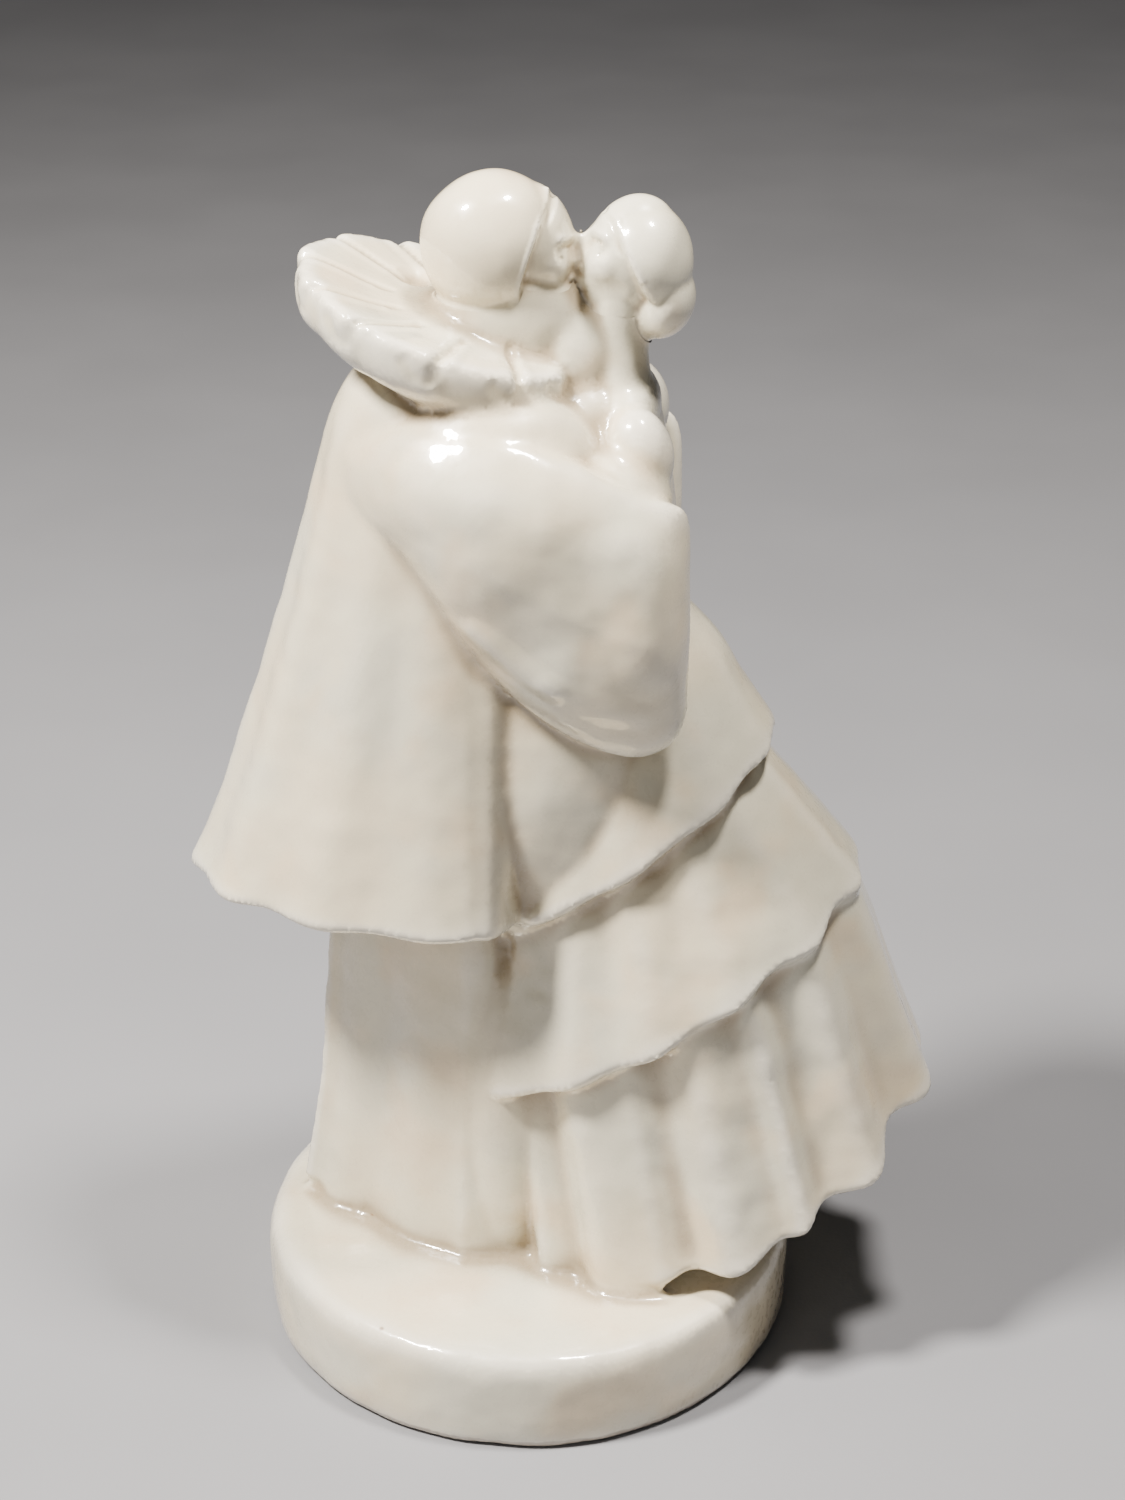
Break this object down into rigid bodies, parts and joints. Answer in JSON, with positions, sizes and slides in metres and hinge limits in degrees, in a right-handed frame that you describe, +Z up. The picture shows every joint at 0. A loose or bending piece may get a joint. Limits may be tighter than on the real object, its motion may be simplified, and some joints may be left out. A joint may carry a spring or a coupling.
{
  "type": "porcelain figurine",
  "caption": "White glazed porcelain statuette of a pierrot and a columbine embracing, with ruff, draped smock and flounced skirt, on a round plinth.",
  "frame": {"origin": "middle of the group's bounding box, at the underside of the plinth", "axes": "+Z up, +X from the man towards the woman and her skirt, +Y away from the near sleeve"},
  "size_m": [0.1856, 0.134, 0.3003],
  "materials": {
    "plinth_glaze": "thick clear gloss glaze over white porcelain, creamy in the hollows",
    "trousers_glaze": "thick clear gloss glaze over white porcelain, creamy in the hollows",
    "lower_flounce_glaze": "thick clear gloss glaze over white porcelain, creamy in the hollows",
    "middle_flounce_glaze": "thick clear gloss glaze over white porcelain, creamy in the hollows",
    "upper_flounce_glaze": "thick clear gloss glaze over white porcelain, creamy in the hollows",
    "smock_glaze": "thick clear gloss glaze over white porcelain, creamy in the hollows",
    "near_sleeve_glaze": "thick clear gloss glaze over white porcelain, creamy in the hollows",
    "far_sleeve_glaze": "thick clear gloss glaze over white porcelain, creamy in the hollows",
    "ruff_collar_glaze": "thick clear gloss glaze over white porcelain, creamy in the hollows",
    "pierrot_neck_glaze": "thick clear gloss glaze over white porcelain, creamy in the hollows",
    "pierrot_head_glaze": "thick clear gloss glaze over white porcelain, creamy in the hollows",
    "skull_cap_glaze": "thick clear gloss glaze over white porcelain, creamy in the hollows",
    "columbine_bust_glaze": "thick clear gloss glaze over white porcelain, creamy in the hollows",
    "columbine_near_arm_glaze": "thick clear gloss glaze over white porcelain, creamy in the hollows",
    "columbine_far_arm_glaze": "thick clear gloss glaze over white porcelain, creamy in the hollows",
    "columbine_head_glaze": "thick clear gloss glaze over white porcelain, creamy in the hollows",
    "columbine_hair_glaze": "thick clear gloss glaze over white porcelain, creamy in the hollows"
  },
  "bodies": {
    "root": {"plinth": "plinth_glaze", "trousers": "trousers_glaze", "lower_flounce": "lower_flounce_glaze", "middle_flounce": "middle_flounce_glaze", "upper_flounce": "upper_flounce_glaze", "smock": "smock_glaze", "near_sleeve": "near_sleeve_glaze", "far_sleeve": "far_sleeve_glaze", "ruff_collar": "ruff_collar_glaze", "pierrot_neck": "pierrot_neck_glaze", "pierrot_head": "pierrot_head_glaze", "skull_cap": "skull_cap_glaze", "columbine_bust": "columbine_bust_glaze", "columbine_near_arm": "columbine_near_arm_glaze", "columbine_far_arm": "columbine_far_arm_glaze", "columbine_head": "columbine_head_glaze", "columbine_hair": "columbine_hair_glaze"}
  },
  "joints": []
}
